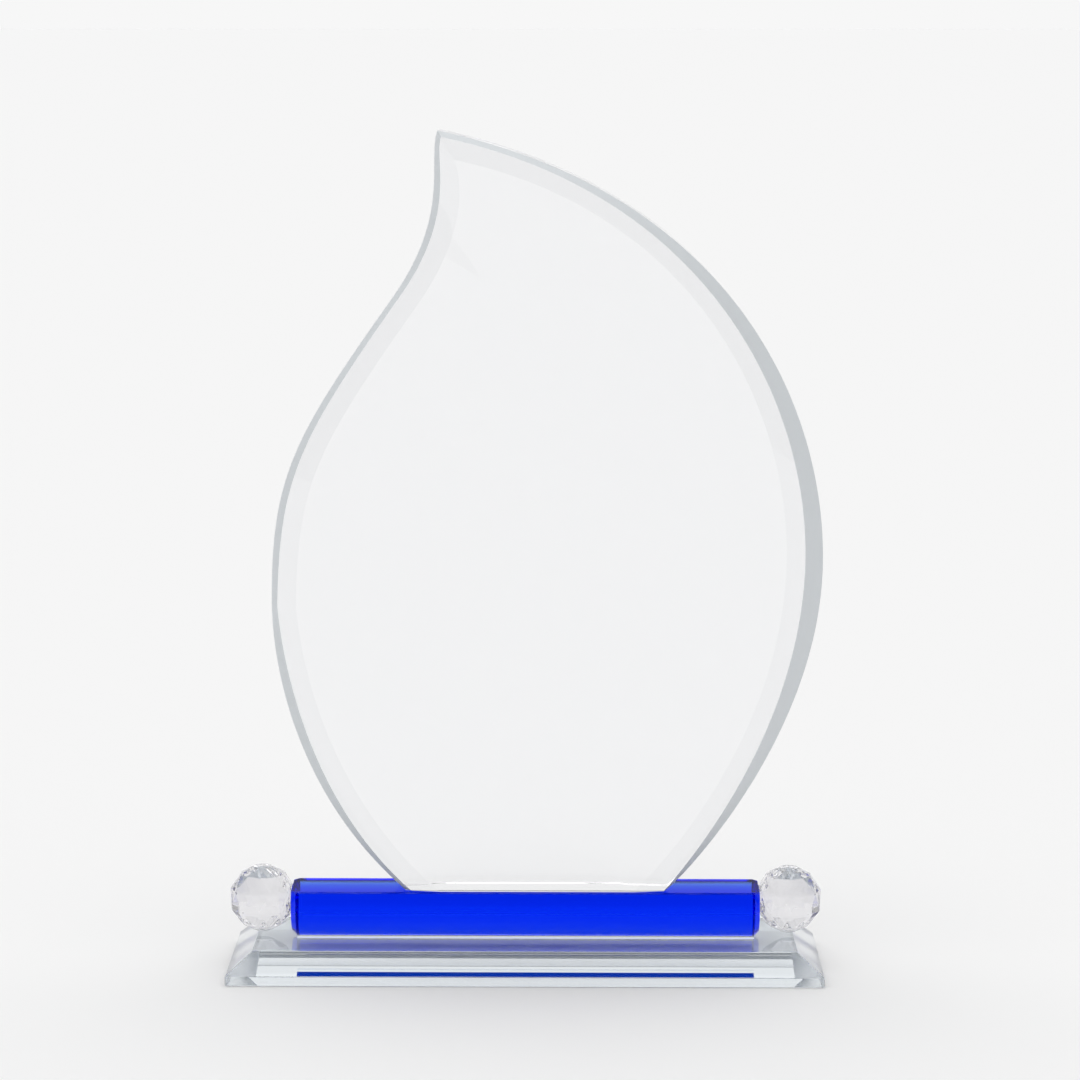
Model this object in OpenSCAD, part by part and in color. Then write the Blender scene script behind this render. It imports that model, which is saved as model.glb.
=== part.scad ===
// Crystal award: a flame-shaped glass plaque on a blue glass rod, with a
// faceted glass ball at each end of the rod, all bonded to a bevelled glass plate.
// +Z is up, +X is the viewer's right, and the front of the award faces -Y.
// The origin is the centre of the plate's underside.

/* [Base plate] */
// Width of the plate, left to right
base_w = 174; // [160:1:220]
// Depth of the plate, front to back
base_d = 50; // [46:1:80]
// Height of the plate's upright edge, below its bevels
base_edge = 2.8; // [2:0.1:6]
// Width of the bevels along the left and right edges
side_bevel_w = 7.5; // [5:0.5:10]
// Width of the steeper bevels along the front and back edges
front_bevel_w = 6; // [4:0.5:10]
// Height of all four bevels
base_bevel_h = 6.1; // [3:0.1:8]

/* [Blue rod] */
// Diameter of the rod
rod_d = 20; // [19:0.5:24]
// Length of the rod
rod_l = 138; // [120:1:144]
// Chamfer at each end of the rod
rod_chamfer = 1.5; // [0.5:0.25:2.5]
// Height of the ground seat for the plaque above the rod's axis
seat_rise = 5; // [4:0.1:5]
// Depth of the narrow flat ground along the rod's underside
foot_cut = 0.3; // [0.1:0.05:0.5]
// Distance of the rod's axis behind the middle of the plate
rod_back = 0; // [-3:0.5:3]

/* [Faceted balls] */
// Diameter over the corners of the facets
ball_d = 20; // [18:0.5:21]
// Facets around the ball
ball_sides = 10; // [8:1:14]
// Depth ground off each ball where it meets the rod
ball_grind = 1.4; // [1:0.1:2]
// Height of the balls' centres above the rod's axis, which clears the plate
ball_rise = 1.2; // [1:0.1:2]

/* [Plaque] */
// Width of the flame outline
plaque_w = 160; // [140:1:174]
// Height of the flame outline above its seat
plaque_h = 222; // [180:1:260]
// Thickness of the plaque
plaque_t = 17; // [15:0.5:17]
// Depth of the steep ground rim, from the front face back to the full outline
rim_depth = 3; // [2.5:0.25:5]
// Depth of the shallow bevel inside the rim
bevel_depth = 1.2; // [0.5:0.1:2]
// Width of the rim and the bevel together
bevel_reach = 7; // [6.5:0.25:9]

/* [Adhesive] */
// Thickness of each cured bond layer
glue_t = 0.2; // [0.1:0.05:0.3]

/* [Hidden] */

round_fn = 96;
curve_steps = 28;
overcut = 1;

plate_h = base_edge + base_bevel_h;
rod_r = rod_d / 2;
rod_axis_z = plate_h + glue_t + rod_r - foot_cut;
foot_half = sqrt(rod_r ^ 2 - (rod_r - foot_cut) ^ 2);
seat_z = rod_axis_z + seat_rise;

ball_r = ball_d / 2;
ball_face_x = rod_l / 2 + glue_t;
ball_x = ball_face_x + ball_r - ball_grind;
ball_z = rod_axis_z + ball_rise;
// Latitudes of the rings of facet corners, from the top ring down
ball_latitudes = [74, 48, 17, -17, -48, -74];
ball_bond_r = 4;

plaque_z = seat_z + glue_t;
plaque_front = rod_back - plaque_t / 2;
plaque_back = rod_back + plaque_t / 2;
bond_margin = 0.3;

// Control points of the flame outline, [x, height], at its drawn size of 160 by 222.
// Six cubic curves run from the tip down the right side, along the seat and up the left.
drawn_w = 160;
drawn_h = 222;
flame = [
    [-25, 222], [58.5, 204.5], [86.3, 144],
    [86.3, 98], [86.3, 47.5], [47.5, 4.8],
    [41.5, 0], [16, 0], [-10, 0],
    [-35.5, 0], [-69.5, 30.5], [-73.7, 71],
    [-73.7, 85], [-73.7, 123], [-66.5, 134.5],
    [-38, 174.5], [-21, 198.5], [-28, 213]
];
// Width of the ground rim along each leg of the control outline: broad on the
// right, narrow at the neck, and nothing along the seat
rim_widths = [2.2, 4.8, 4.4, 6, 3.8, 0.8, 0, 0, 0, 2.2, 4, 0.8, 2.6, 2.6, 0.8, 1.8, 1.2, 1.2];
bevel_widths = [for (w = rim_widths) w == 0 ? 0 : bevel_reach];
// Sine of the turn above which a joint between two legs is a real corner
corner_turn = 0.45;

// ---------- outline functions ----------

flame_scale = [plaque_w / drawn_w, plaque_h / drawn_h];
control = [for (p = flame) [p.x * flame_scale.x, p.y * flame_scale.y]];

function leg(points, i) = points[(i + 1) % len(points)] - points[i];
function inward(v) = [v.y, -v.x] / norm(v);
function cross2(a, b) = a.x * b.y - a.y * b.x;

// Step that moves a control point inwards, given its two legs' normals and widths
function corner_step(n1, n2, w1, w2) =
    [w1 * n2.y - w2 * n1.y, w2 * n1.x - w1 * n2.x] / cross2(n1, n2);
function smooth_step(n1, n2, w1, w2) =
    (n1 + n2) * (w1 + w2) / 2 / (1 + n1 * n2);
function inner_step(n1, n2, w1, w2) =
    abs(cross2(n1, n2)) > corner_turn
        ? corner_step(n1, n2, w1, w2)
        : smooth_step(n1, n2, w1, w2);

// The control outline moved inwards by each leg's own width
function shrink(points, widths) = [
    for (i = [0 : len(points) - 1])
        let (before = (i + len(points) - 1) % len(points))
        points[i] + inner_step(inward(leg(points, before)), inward(leg(points, i)),
                               widths[before], widths[i])
];

function bezier(a, b, c, d, t) =
    a * (1 - t) ^ 3 + 3 * b * (1 - t) ^ 2 * t + 3 * c * (1 - t) * t ^ 2 + d * t ^ 3;

// Points along the closed chain of cubic curves
function outline(points) = [
    for (i = [0 : 3 : len(points) - 1])
        for (k = [0 : curve_steps - 1])
            bezier(points[i], points[i + 1], points[i + 2],
                   points[(i + 3) % len(points)], k / curve_steps)
];

function at_depth(points, y) = [for (p = points) [p.x, y, plaque_z + p.y]];

// Triangles between two rings of n points, ring a in front of ring b
function skin(a, b, n) = [
    for (i = [0 : n - 1])
        let (j = (i + 1) % n)
        each [[a * n + i, b * n + i, a * n + j], [a * n + j, b * n + i, b * n + j]]
];

// Triangles across ring a, between each corner on the right side and its partner on
// the left. The ring starts at the tip and its last corner is next to the tip.
function cap(a, n) = [
    for (i = [0 : n / 2 - 1])
        let (
            right = a * n + i,
            left = a * n + (n - i) % n,
            next_left = a * n + n - i - 1
        )
        each concat(
            i == 0 ? [] : [[right, right + 1, left]],
            right + 1 == next_left ? [] : [[left, right + 1, next_left]]
        )
];

function turned(faces) = [for (f = faces) [f[0], f[2], f[1]]];

// ---------- parts ----------

module base_plate() {
    color([0.84, 0.90, 0.92, 0.6])
        intersection() {
            rotate([90, 0, 0])
                linear_extrude(base_d, center = true)
                    plate_section(base_w, side_bevel_w);
            rotate([90, 0, 90])
                linear_extrude(base_w, center = true)
                    plate_section(base_d, front_bevel_w);
        }
}

// Section of the plate: an upright edge with a bevel above it on both sides
module plate_section(width, bevel_w) {
    half = width / 2;
    polygon([
        [-half, 0], [half, 0], [half, base_edge], [half - bevel_w, plate_h],
        [bevel_w - half, plate_h], [-half, base_edge]
    ]);
}

// Bond between the rod's underside and the plate
module rod_bond() {
    color([0.10, 0.22, 0.60])
        translate([0, rod_back, plate_h + glue_t / 2])
            cube([rod_l - 2 * rod_chamfer, 2 * foot_half, glue_t], center = true);
}

module blue_rod() {
    color([0.03, 0.12, 0.85])
        translate([0, rod_back, rod_axis_z])
            difference() {
                rotate([0, 90, 0])
                    rotate_extrude($fn = round_fn)
                        rod_section();
                translate([-rod_l / 2 - overcut, -rod_r - overcut, seat_rise])
                    cube([rod_l + 2 * overcut, rod_d + 2 * overcut, rod_r]);
                translate([-rod_l / 2 - overcut, -rod_r - overcut, foot_cut - 2 * rod_r])
                    cube([rod_l + 2 * overcut, rod_d + 2 * overcut, rod_r]);
            }
}

// Half section of the rod, from its axis out to its skin
module rod_section() {
    end = rod_l / 2;
    polygon([
        [0, -end], [rod_r - rod_chamfer, -end], [rod_r, rod_chamfer - end],
        [rod_r, end - rod_chamfer], [rod_r - rod_chamfer, end], [0, end]
    ]);
}

// Bond between the plaque's foot and the seat on the rod
module plaque_bond() {
    foot_left = control[9].x + bond_margin;
    foot_right = control[6].x - bond_margin;
    bond_front = plaque_front + rim_depth;
    bond_back = plaque_back - bond_margin;
    color([0.88, 0.93, 0.95, 0.6])
        translate([foot_left, bond_front, seat_z])
            cube([foot_right - foot_left, bond_back - bond_front, glue_t]);
}

// Rings from the front face back: front face, bevel, rim and back face
module plaque() {
    rings = [
        at_depth(outline(shrink(control, bevel_widths)), plaque_front),
        at_depth(outline(shrink(control, rim_widths)), plaque_front + bevel_depth),
        at_depth(outline(control), plaque_front + rim_depth),
        at_depth(outline(control), plaque_back)
    ];
    n = len(rings[0]);
    color([0.93, 0.95, 0.96, 0.5])
        polyhedron(
            points = [for (ring = rings) each ring],
            faces = concat(
                cap(0, n), skin(0, 1, n), skin(1, 2, n), skin(2, 3, n), turned(cap(3, n))
            ),
            convexity = 4
        );
}

// side is -1 for the left ball and 1 for the right one
module ball_bond(side) {
    color([0.88, 0.93, 0.95, 0.6])
        translate([side * (rod_l / 2 + glue_t / 2), rod_back, ball_z])
            rotate([0, 90, 0])
                cylinder(h = glue_t, r = ball_bond_r, center = true, $fn = round_fn);
}

module ball(side) {
    color([0.90, 0.91, 0.93, 0.7])
        difference() {
            translate([side * ball_x, rod_back, ball_z])
                faceted_ball();
            translate([side * (ball_face_x - ball_r), rod_back, ball_z])
                cube(ball_d, center = true);
        }
}

// Rings of corners at fixed latitudes, each turned half a facet from the last,
// joined by triangles and closed by a flat table above and below
module faceted_ball() {
    n = ball_sides;
    rows = len(ball_latitudes);
    step = 360 / n;
    corners = [
        for (row = [0 : rows - 1])
            let (lat = ball_latitudes[row])
            for (i = [0 : n - 1])
                let (lon = (i + (row % 2) / 2) * step)
                ball_r * [cos(lat) * cos(lon), cos(lat) * sin(lon), sin(lat)]
    ];
    polyhedron(
        points = corners,
        faces = concat(
            [[for (i = [n - 1 : -1 : 0]) i]],
            [for (row = [0 : rows - 2]) each facet_band(row, n)],
            [[for (i = [0 : n - 1]) (rows - 1) * n + i]]
        )
    );
}

// Triangles between ring row and the ring below it
function facet_band(row, n) = [
    for (i = [0 : n - 1])
        let (
            j = (i + 1) % n,
            top_i = row * n + i,
            top_j = row * n + j,
            low_i = (row + 1) * n + i,
            low_j = (row + 1) * n + j
        )
        each row % 2 == 0
            ? [[top_i, top_j, low_i], [low_i, top_j, low_j]]
            : [[top_i, low_j, low_i], [top_i, top_j, low_j]]
];

module ball_bond_left() {
    ball_bond(-1);
}

module ball_bond_right() {
    ball_bond(1);
}

module ball_left() {
    ball(-1);
}

module ball_right() {
    ball(1);
}

base_plate();
rod_bond();
blue_rod();
plaque_bond();
plaque();
ball_bond_left();
ball_bond_right();
ball_left();
ball_right();
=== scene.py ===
"""Crystal award: a flame-shaped glass plaque on a blue glass rod, two faceted balls
and a bevelled glass plate, on a plain white floor."""
import math

import bmesh
import bpy
from mathutils import Matrix, Vector


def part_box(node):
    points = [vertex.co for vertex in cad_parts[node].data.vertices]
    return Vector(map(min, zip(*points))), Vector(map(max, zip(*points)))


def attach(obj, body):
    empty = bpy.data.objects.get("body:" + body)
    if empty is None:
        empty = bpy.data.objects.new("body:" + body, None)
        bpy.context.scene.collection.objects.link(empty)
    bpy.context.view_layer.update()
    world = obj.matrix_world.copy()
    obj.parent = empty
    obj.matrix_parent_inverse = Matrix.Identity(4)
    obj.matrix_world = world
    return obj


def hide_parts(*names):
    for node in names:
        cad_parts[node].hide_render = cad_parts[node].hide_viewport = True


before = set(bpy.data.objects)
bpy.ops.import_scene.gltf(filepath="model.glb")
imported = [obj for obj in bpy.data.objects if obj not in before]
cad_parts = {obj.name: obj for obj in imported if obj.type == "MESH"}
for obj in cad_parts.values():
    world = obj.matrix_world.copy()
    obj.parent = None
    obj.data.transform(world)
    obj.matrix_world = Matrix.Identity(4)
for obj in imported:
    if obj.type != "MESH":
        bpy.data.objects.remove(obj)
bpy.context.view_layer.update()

# Sizes in metres, the same as in the CAD part
MM = 0.001
BASE_EDGE = 2.8 * MM
SIDE_BEVEL = 7.5 * MM
FRONT_BEVEL = 6 * MM
ROD_CHAMFER = 1.5 * MM
RIM_DEPTH = 3 * MM
BEVEL_DEPTH = 1.2 * MM
BALL_D = 20 * MM
BALL_SIDES = 10

# Finer detail that only this model has
BEVEL_WIDTH = 5.5 * MM  # polished bevel, inwards from the ground rim
PLAQUE_ARRIS = 0.25 * MM
SEAT_ARRIS = 0.5 * MM
ROD_ARRIS = 0.2 * MM
PLATE_ARRIS = 0.15 * MM
BALL_ARRIS = 0.06 * MM
AIR_GAP = 0.03 * MM  # keeps touching glasses from sharing a face
BOND_OVERLAP = 0.02 * MM
BEAD_GAP = 0.02 * MM
BEAD_OVERLAP = 0.01 * MM
FLOOR_GAP = 0.1 * MM
ROD_STEPS = 48
BEAD_STEPS = 6

# Flame outline: control points of six cubic curves in millimetres, from the tip down
# the right side, along the seat and up the left side, with the rim's width at each leg
FLAME = [
    (-25, 222), (58.5, 204.5), (86.3, 144),
    (86.3, 98), (86.3, 47.5), (47.5, 4.8),
    (41.5, 0), (16, 0), (-10, 0),
    (-35.5, 0), (-69.5, 30.5), (-73.7, 71),
    (-73.7, 85), (-73.7, 123), (-66.5, 134.5),
    (-38, 174.5), (-21, 198.5), (-28, 213),
]
RIM_WIDTHS = [1.5, 4.8, 4.4, 6, 3.8, 0.5, 0, 0, 0, 1.3, 4.6, 0.8, 2.6, 2.6, 0.8, 2.2, 1.9, 1.6]
CURVE_STEPS = 64
CORNER_TURN = 0.45  # a leg turning by more than this sine is a corner


# ---------- pieces ----------


def add_piece(name, bm, materials, node, smooth_angle=None):
    """Make a mesh piece that stands for a CAD node and rides on the one body."""
    mesh = bpy.data.meshes.new(name)
    bm.normal_update()
    bm.to_mesh(mesh)
    bm.free()
    for material in materials:
        mesh.materials.append(material)
    if smooth_angle is not None:
        mesh.shade_smooth()
        mesh.set_sharp_from_angle(angle=math.radians(smooth_angle))
    piece = bpy.data.objects.new(name, mesh)
    bpy.context.scene.collection.objects.link(piece)
    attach(piece, "root")
    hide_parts(node)
    return piece


def add_arris(piece, width, angle, segments=2):
    """Round the sharp edges a little, as grinding does."""
    bevel = piece.modifiers.new("arris", "BEVEL")
    bevel.width = width
    bevel.segments = segments
    bevel.limit_method = "ANGLE"
    bevel.angle_limit = math.radians(angle)
    bevel.harden_normals = False


def loft(bm, rings, material_of=None):
    """Quads between rings of equal length; returns the rings' vertices."""
    made = [[bm.verts.new(p) for p in ring] for ring in rings]
    count = len(rings[0])
    for row in range(len(made) - 1):
        for i in range(count):
            j = (i + 1) % count
            face = bm.faces.new((made[row][i], made[row][j], made[row + 1][j], made[row + 1][i]))
            if material_of:
                face.material_index = material_of[row]
    return made


def close_ends(bm, made):
    """One face over the first ring and one over the last."""
    bm.faces.new(list(reversed(made[0])))
    bm.faces.new(made[-1])
    bmesh.ops.recalc_face_normals(bm, faces=bm.faces)


# ---------- plaque ----------


def shrink(points, widths):
    """The control outline moved inwards by each leg's own width."""
    moved = []
    count = len(points)
    for i in range(count):
        before, here, after = points[i - 1], points[i], points[(i + 1) % count]
        d1, d2 = (here - before).normalized(), (after - here).normalized()
        n1, n2 = Vector((d1.y, -d1.x)), Vector((d2.y, -d2.x))
        w1, w2 = widths[i - 1], widths[i]
        turn = n1.x * n2.y - n1.y * n2.x
        if abs(turn) > CORNER_TURN:
            step = Vector((w1 * n2.y - w2 * n1.y, w2 * n1.x - w1 * n2.x)) / turn
        else:
            step = (n1 + n2) * (w1 + w2) / 2 / (1 + n1.dot(n2))
        moved.append(here + step)
    return moved


def curve_points(points):
    """Points along the closed chain of cubic curves."""
    made = []
    count = len(points)
    for i in range(0, count, 3):
        a, b, c, d = points[i], points[i + 1], points[i + 2], points[(i + 3) % count]
        for k in range(CURVE_STEPS):
            t = k / CURVE_STEPS
            s = 1 - t
            made.append(a * s**3 + b * 3 * s * s * t + c * 3 * s * t * t + d * t**3)
    return made


def plaque_rings():
    """Rings of the plaque from its front face back: bevel, rim, side wall and back arris."""
    low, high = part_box("plaque")
    xs = [x for x, _ in FLAME]
    foot = low.z + AIR_GAP
    scale_x = (high.x - low.x) / (max(xs) - min(xs))
    scale_z = (high.z - foot) / max(z for _, z in FLAME)
    control = [Vector((low.x + (x - min(xs)) * scale_x, z * scale_z)) for x, z in FLAME]
    rim = [w * MM for w in RIM_WIDTHS]
    bevel = [w + BEVEL_WIDTH if w else 0 for w in rim]
    full = [0] * len(FLAME)
    arris = [PLAQUE_ARRIS] * len(FLAME)

    def ring(widths, depth):
        outline = curve_points(shrink(control, widths))
        return [Vector((p.x, low.y + depth, foot + p.y)) for p in outline]

    thick = high.y - low.y
    return [
        ring(bevel, 0),
        ring(rim, BEVEL_DEPTH),
        ring(full, RIM_DEPTH),
        ring(full, thick - PLAQUE_ARRIS),
        ring(arris, thick),
    ]


def cap_strip(bm, ring):
    """Close a ring by strips between each point on the right and its partner on the left."""
    count = len(ring)
    for i in range(count // 2):
        right, left, next_left = i, (count - i) % count, count - i - 1
        if i == 0:
            bm.faces.new((ring[0], ring[1], ring[count - 1]))
        elif right + 1 == next_left:
            bm.faces.new((ring[left], ring[right], ring[right + 1]))
        else:
            bm.faces.new((ring[left], ring[right], ring[right + 1], ring[next_left]))


def add_plaque(face, bevel, rim, wall):
    bm = bmesh.new()
    made = loft(bm, plaque_rings(), material_of=[1, 2, 3, 3])
    cap_strip(bm, made[0])
    cap_strip(bm, made[-1])
    bmesh.ops.recalc_face_normals(bm, faces=bm.faces)
    add_piece("plaque_glass", bm, [face, bevel, rim, wall], "plaque", 12)


# ---------- rod and its adhesive ----------


def rod_axis():
    """The rod's radius, the height of its axis and half the width of its bonded foot."""
    low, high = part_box("blue_rod")
    bond_low, bond_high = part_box("rod_bond")
    radius = (high.y - low.y) / 2
    foot_half = (bond_high.y - bond_low.y) / 2
    return radius, low.z + math.sqrt(radius**2 - foot_half**2), foot_half


def add_rod(material):
    """A round rod with a flat seat along its top, a flat foot and chamfered ends."""
    low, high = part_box("blue_rod")
    radius, axis_z, foot_half = rod_axis()
    centre_y = (high.y + low.y) / 2
    rise = high.z - AIR_GAP - axis_z
    drop = axis_z - low.z
    narrowest_foot = foot_half / 5  # where the end chamfer runs out above the foot
    stations = [
        (low.x + AIR_GAP, radius - ROD_CHAMFER),
        (low.x + ROD_CHAMFER, radius),
        (high.x - ROD_CHAMFER, radius),
        (high.x - AIR_GAP, radius - ROD_CHAMFER),
    ]

    def section(x, r):
        top = math.asin(min(1, rise / r))
        bottom = -math.asin(min(1, drop / r))
        angles = [top + (bottom - top) * k / ROD_STEPS for k in range(ROD_STEPS + 1)]
        side = [(math.cos(a) * r, math.sin(a) * r) for a in angles]
        side[0] = (side[0][0] - SEAT_ARRIS, side[0][1])
        side[-1] = (max(side[-1][0], narrowest_foot), side[-1][1])
        ring = [Vector((x, centre_y + y, axis_z + z)) for y, z in side]
        ring += [Vector((x, centre_y - y, axis_z + z)) for y, z in reversed(side)]
        return ring

    bm = bmesh.new()
    close_ends(bm, loft(bm, [section(x, r) for x, r in stations]))
    piece = add_piece("rod_glass", bm, [material], "blue_rod", 20)
    add_arris(piece, ROD_ARRIS, 25)


def add_rod_bond(material):
    """The film under the rod, sunk a hair into both glasses so that no air shows; its deep blue
    tint is a painted reflection of the blue rod's foot in the plate.
    """
    low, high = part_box("rod_bond")
    size = high - low + Vector((0, 0, 2 * BOND_OVERLAP))
    place = Matrix.Translation((low + high) / 2) @ Matrix.Diagonal((*size, 1))
    bm = bmesh.new()
    bmesh.ops.create_cube(bm, size=1, matrix=place)
    add_piece("rod_bond_film", bm, [material], "rod_bond")


def add_glue_bead(material):
    """Cured adhesive squeezed out along the front and back of the rod's foot."""
    low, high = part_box("rod_bond")
    radius, axis_z, foot_half = rod_axis()
    reach, toe, hollow = 4.1 * MM, 4.9 * MM, 0.12 * MM
    plate = low.z - BEAD_OVERLAP
    middle = (low.y + high.y) / 2
    outline = []
    for k in range(BEAD_STEPS + 1):
        y = foot_half + (reach - foot_half) * k / BEAD_STEPS
        outline.append((y, axis_z - math.sqrt(radius**2 - y**2) - BEAD_GAP))
    outline.append(((reach + toe) / 2 - hollow, (outline[-1][1] + low.z) / 2 - hollow))
    outline.append((toe, plate))
    outline.append((foot_half, plate))
    bm = bmesh.new()
    for side in (-1, 1):
        ends = [[Vector((x, middle + side * y, z)) for y, z in outline] for x in (low.x, high.x)]
        close_ends(bm, loft(bm, ends))
    add_piece("rod_bond_bead", bm, [material], "rod_bond", 30)


# ---------- plate and balls ----------


def add_base(polished, satin):
    low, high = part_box("base_plate")

    def rectangle(z, inset_x, inset_y):
        return [
            Vector((low.x + inset_x, low.y + inset_y, z)),
            Vector((high.x - inset_x, low.y + inset_y, z)),
            Vector((high.x - inset_x, high.y - inset_y, z)),
            Vector((low.x + inset_x, high.y - inset_y, z)),
        ]

    bm = bmesh.new()
    close_ends(bm, loft(bm, [
        rectangle(low.z, 0, 0),
        rectangle(low.z + BASE_EDGE, 0, 0),
        rectangle(high.z, SIDE_BEVEL, FRONT_BEVEL),
    ]))
    for face in bm.faces:
        if abs(face.normal.x) > 0.5:
            face.material_index = 1
    piece = add_piece("plate_glass", bm, [polished, satin], "base_plate")
    add_arris(piece, PLATE_ARRIS, 20)


BALL_LATITUDES = [74, 48, 17, -17, -48, -74]
GIRDLE = 17  # latitude of the widest rows of corners


def add_ball(side, material):
    """A ball with rows of facets, ground flat where it is glued to the rod's end."""
    name = "ball_right" if side > 0 else "ball_left"
    low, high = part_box(name)
    radius = BALL_D / 2
    flat_x = low.x if side > 0 else high.x
    far_x = high.x if side > 0 else low.x
    centre = (low + high) / 2
    centre.x = far_x - side * radius * math.cos(math.radians(GIRDLE))
    bm = bmesh.new()
    for row, latitude in enumerate(BALL_LATITUDES):
        a = math.radians(latitude)
        for i in range(BALL_SIDES):
            b = math.radians((i + (row % 2) / 2) * 360 / BALL_SIDES)
            way = Vector((math.cos(a) * math.cos(b), math.cos(a) * math.sin(b), math.sin(a)))
            bm.verts.new(centre + radius * way)
    bmesh.ops.convex_hull(bm, input=bm.verts)
    bmesh.ops.dissolve_limit(bm, angle_limit=math.radians(1), verts=bm.verts, edges=bm.edges)
    bmesh.ops.bisect_plane(
        bm,
        geom=bm.verts[:] + bm.edges[:] + bm.faces[:],
        plane_co=Vector((flat_x + side * AIR_GAP, 0, 0)),
        plane_no=Vector((-side, 0, 0)),
        clear_outer=True,
    )
    bmesh.ops.holes_fill(bm, edges=[e for e in bm.edges if e.is_boundary])
    bmesh.ops.recalc_face_normals(bm, faces=bm.faces)
    piece = add_piece(f"{name}_crystal", bm, [material], name)
    add_arris(piece, BALL_ARRIS, 10, 1)


# ---------- materials ----------


def new_material(name):
    material = bpy.data.materials.new(name)
    material.use_nodes = True
    tree = material.node_tree
    return material, tree, tree.nodes["Principled BSDF"]


def noise(tree, scale, detail=3.0):
    place = tree.nodes.new("ShaderNodeTexCoord")
    node = tree.nodes.new("ShaderNodeTexNoise")
    node.inputs["Scale"].default_value = scale
    node.inputs["Detail"].default_value = detail
    tree.links.new(place.outputs["Object"], node.inputs["Vector"])
    return node.outputs["Fac"]


def ranged(tree, source, low, high):
    node = tree.nodes.new("ShaderNodeMapRange")
    node.inputs["To Min"].default_value = low
    node.inputs["To Max"].default_value = high
    tree.links.new(source, node.inputs["Value"])
    return node.outputs["Result"]


def glass(name, tint, ior=1.517, rough=(0.0, 0.01), shine=None):
    """Clear glass with a trace of haze and of waviness; shine tints its reflection."""
    material, tree, shader = new_material(name)
    shader.inputs["Base Color"].default_value = (*tint, 1)
    shader.inputs["Transmission Weight"].default_value = 1
    shader.inputs["IOR"].default_value = ior
    if shine:
        shader.inputs["Specular Tint"].default_value = (*shine, 1)
    tree.links.new(ranged(tree, noise(tree, 90), *rough), shader.inputs["Roughness"])
    bump = tree.nodes.new("ShaderNodeBump")
    bump.inputs["Strength"].default_value = 0.01
    bump.inputs["Distance"].default_value = MM
    tree.links.new(noise(tree, 40, 1.0), bump.inputs["Height"])
    tree.links.new(bump.outputs["Normal"], shader.inputs["Normal"])
    return material


def add_absorption(material, colour, density):
    """Colour that deepens with the length of the light's way through the glass."""
    tree = material.node_tree
    volume = tree.nodes.new("ShaderNodeVolumeAbsorption")
    volume.inputs["Color"].default_value = (*colour, 1)
    volume.inputs["Density"].default_value = density
    tree.links.new(volume.outputs["Volume"], tree.nodes["Material Output"].inputs["Volume"])


def paint_out_seat_reflection(material):
    """Painted shade where the glass faces straight up, on the rod's ground seat: a glass of IOR
    1.065 that reflects almost nothing is mixed in there.
    """
    tree = material.node_tree
    body = tree.nodes["Principled BSDF"]
    unreflecting = tree.nodes.new("ShaderNodeBsdfPrincipled")
    unreflecting.inputs["Base Color"].default_value = (1, 1, 1, 1)
    unreflecting.inputs["Transmission Weight"].default_value = 1
    unreflecting.inputs["IOR"].default_value = 1.065
    for socket in ("Roughness", "Normal"):
        tree.links.new(body.inputs[socket].links[0].from_socket, unreflecting.inputs[socket])
    place = tree.nodes.new("ShaderNodeNewGeometry")
    split = tree.nodes.new("ShaderNodeSeparateXYZ")
    tree.links.new(place.outputs["True Normal"], split.inputs["Vector"])
    level = tree.nodes.new("ShaderNodeMath")
    level.operation = "GREATER_THAN"
    level.inputs[1].default_value = 0.99
    tree.links.new(split.outputs["Z"], level.inputs[0])
    mix = tree.nodes.new("ShaderNodeMixShader")
    tree.links.new(level.outputs["Value"], mix.inputs["Fac"])
    tree.links.new(body.outputs["BSDF"], mix.inputs[1])
    tree.links.new(unreflecting.outputs["BSDF"], mix.inputs[2])
    tree.links.new(mix.outputs["Shader"], tree.nodes["Material Output"].inputs["Surface"])


def ground_glass(name, colour):
    """The even grey of an edge ground dull, with a fine grain."""
    material, tree, shader = new_material(name)
    grain = noise(tree, 4000, 4.0)
    mix = tree.nodes.new("ShaderNodeMix")
    mix.data_type = "RGBA"
    mix.inputs["A"].default_value = (*[c * 0.96 for c in colour], 1)
    mix.inputs["B"].default_value = (*[c * 1.03 for c in colour], 1)
    tree.links.new(grain, mix.inputs["Factor"])
    tree.links.new(mix.outputs["Result"], shader.inputs["Base Color"])
    tree.links.new(ranged(tree, grain, 0.4, 0.55), shader.inputs["Roughness"])
    return material


def blue_glass():
    material = glass("blue_glass", (1, 1, 1), shine=(0.0, 0.1, 0.5))
    add_absorption(material, (0.015, 0.42, 0.995), 330)
    # painted shade: the seat on top of the rod is made to reflect almost nothing
    paint_out_seat_reflection(material)
    return material


def clear_bonds():
    """Clear adhesive on the CAD pieces that have no piece of their own here."""
    material = glass("clear_bond", (0.99, 0.99, 0.99), ior=1.49)
    for name in ("plaque_bond", "ball_bond_left", "ball_bond_right"):
        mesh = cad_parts[name].data
        mesh.materials.clear()
        mesh.materials.append(material)


add_plaque(
    glass("plaque_glass", (0.963, 0.966, 0.974)),
    glass("plaque_bevel", (0.895, 0.90, 0.912)),
    ground_glass("ground_rim", (0.775, 0.81, 0.835)),
    glass("plaque_wall", (0.985, 0.988, 0.992)),
)
add_rod(blue_glass())
add_base(
    glass("plate_glass", (0.89, 0.935, 0.965), shine=(0.05, 0.05, 0.1)),
    glass("plate_ends", (1, 1, 1), rough=(0.3, 0.38)),
)
crystal = glass("ball_crystal", (0.87, 0.865, 0.885), ior=1.54)
add_ball(-1, crystal)
add_ball(1, crystal)
# the film's deep blue tint is a painted reflection of the blue rod's foot in the plate; the
# adhesive itself is clear
add_rod_bond(glass("rod_bond", (0.002, 0.035, 0.4), ior=1.0))
add_glue_bead(glass("glue_bead", (0.97, 0.985, 0.99), ior=1.49))
clear_bonds()


# ---------- floor, light and camera ----------

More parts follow.
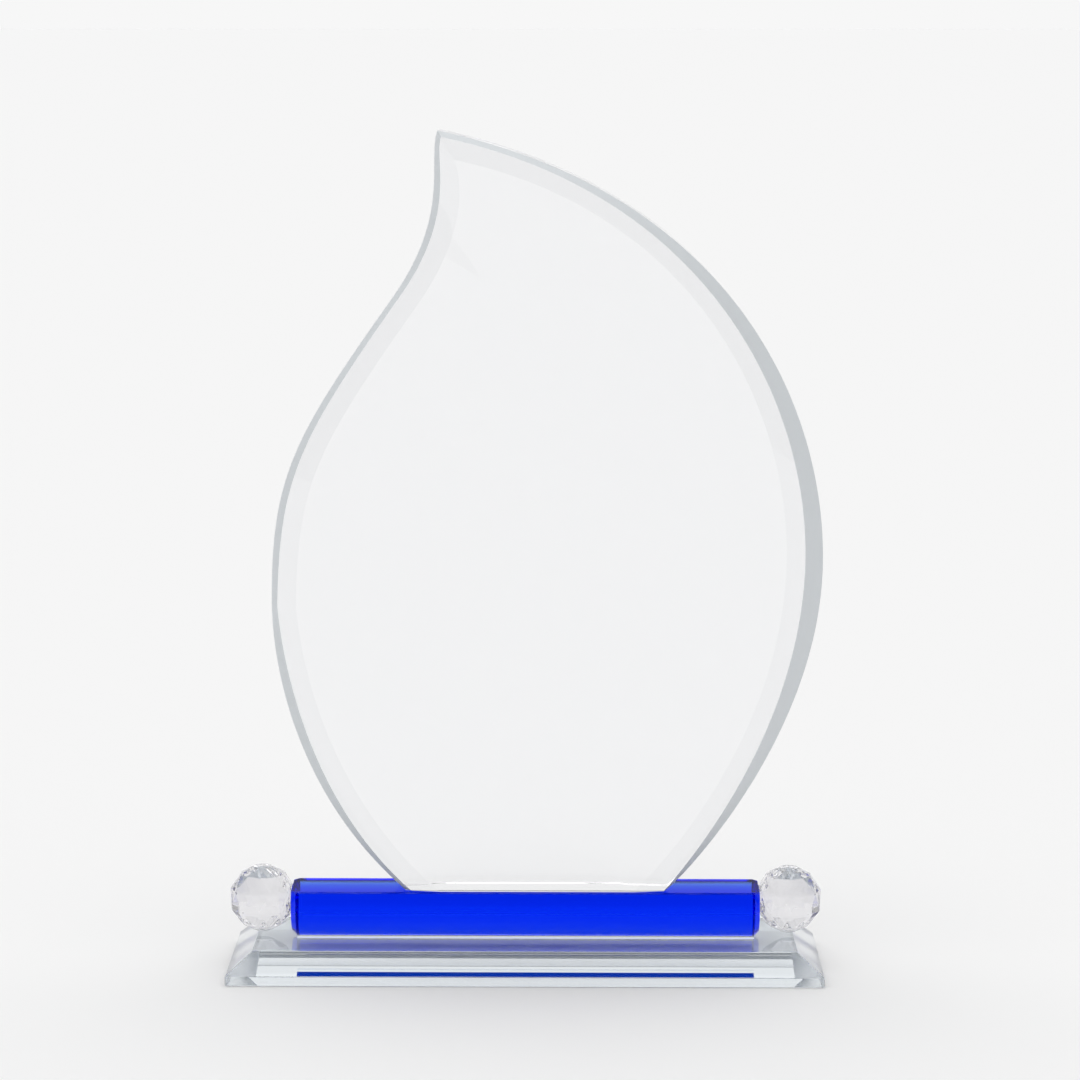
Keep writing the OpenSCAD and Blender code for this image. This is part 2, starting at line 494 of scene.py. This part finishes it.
# Brightness of the studio at each elevation in degrees, on the camera's side and behind
ROOM_FRONT = [(0, 0.35), (20, 0.35), (35, 0.4), (50, 0.76), (62, 1.75)]
ROOM_BEHIND = [(0, 0.93), (20, 0.90), (35, 0.85), (50, 0.85), (62, 1.75)]
ROOM_TURN = (-0.1, 0.3)  # where the front changes to the back, as the way's Y
FLOOR_HALF = 60
FLOOR_GREY = 0.905
LIGHT_BOUNCES = 32


def add_floor():
    bm = bmesh.new()
    bmesh.ops.create_grid(bm, x_segments=1, y_segments=1, size=FLOOR_HALF)
    mesh = bpy.data.meshes.new("floor")
    bm.to_mesh(mesh)
    bm.free()
    floor = bpy.data.objects.new("floor", mesh)
    floor.location.z = -FLOOR_GAP
    bpy.context.scene.collection.objects.link(floor)
    material, _, shader = new_material("white_floor")
    shader.inputs["Base Color"].default_value = (FLOOR_GREY, FLOOR_GREY, FLOOR_GREY, 1)
    shader.inputs["Roughness"].default_value = 1
    shader.inputs["Specular IOR Level"].default_value = 0
    mesh.materials.append(material)


def gradient(tree, height, stops):
    """Brightness against the sine of the elevation, as a chain of colour stops."""
    top = max(value for _, value in stops)
    ramp = tree.nodes.new("ShaderNodeValToRGB")
    elements = ramp.color_ramp.elements
    elements.remove(elements[1])
    for k, (degrees, value) in enumerate(stops):
        at = math.sin(math.radians(degrees))
        element = elements[0] if k == 0 else elements.new(at)
        element.position = at
        element.color = (value / top, value / top, value / top, 1)
    tree.links.new(height, ramp.inputs["Fac"])
    gain = tree.nodes.new("ShaderNodeMath")
    gain.operation = "MULTIPLY"
    gain.inputs[1].default_value = top
    tree.links.new(ramp.outputs["Color"], gain.inputs[0])
    return gain.outputs["Value"]


def add_world():
    world = bpy.data.worlds.new("studio")
    bpy.context.scene.world = world
    world.use_nodes = True
    tree = world.node_tree
    background = tree.nodes["Background"]
    background.inputs["Color"].default_value = (1, 1, 1, 1)
    place = tree.nodes.new("ShaderNodeTexCoord")
    split = tree.nodes.new("ShaderNodeSeparateXYZ")
    tree.links.new(place.outputs["Generated"], split.inputs["Vector"])
    side = tree.nodes.new("ShaderNodeMapRange")
    side.inputs["From Min"].default_value = ROOM_TURN[0]
    side.inputs["From Max"].default_value = ROOM_TURN[1]
    tree.links.new(split.outputs["Y"], side.inputs["Value"])
    mix = tree.nodes.new("ShaderNodeMix")
    tree.links.new(side.outputs["Result"], mix.inputs["Factor"])
    tree.links.new(gradient(tree, split.outputs["Z"], ROOM_FRONT), mix.inputs["A"])
    tree.links.new(gradient(tree, split.outputs["Z"], ROOM_BEHIND), mix.inputs["B"])
    tree.links.new(mix.outputs["Result"], background.inputs["Strength"])


def add_camera():
    data = bpy.data.cameras.new("camera")
    data.lens = 114.33
    data.sensor_width = 36
    data.shift_x = 0.0135
    data.shift_y = 0.0139
    camera = bpy.data.objects.new("camera", data)
    camera.location = (0.0105, -0.988, 0.279)
    camera.rotation_euler = (math.radians(90 - 8.98), 0, math.radians(0.609))
    bpy.context.scene.collection.objects.link(camera)
    bpy.context.scene.camera = camera


add_floor()
add_world()
add_camera()
bpy.context.scene.view_settings.view_transform = "Standard"
bpy.context.scene.cycles.max_bounces = LIGHT_BOUNCES
bpy.context.scene.cycles.transmission_bounces = LIGHT_BOUNCES
bpy.context.scene.cycles.glossy_bounces = LIGHT_BOUNCES
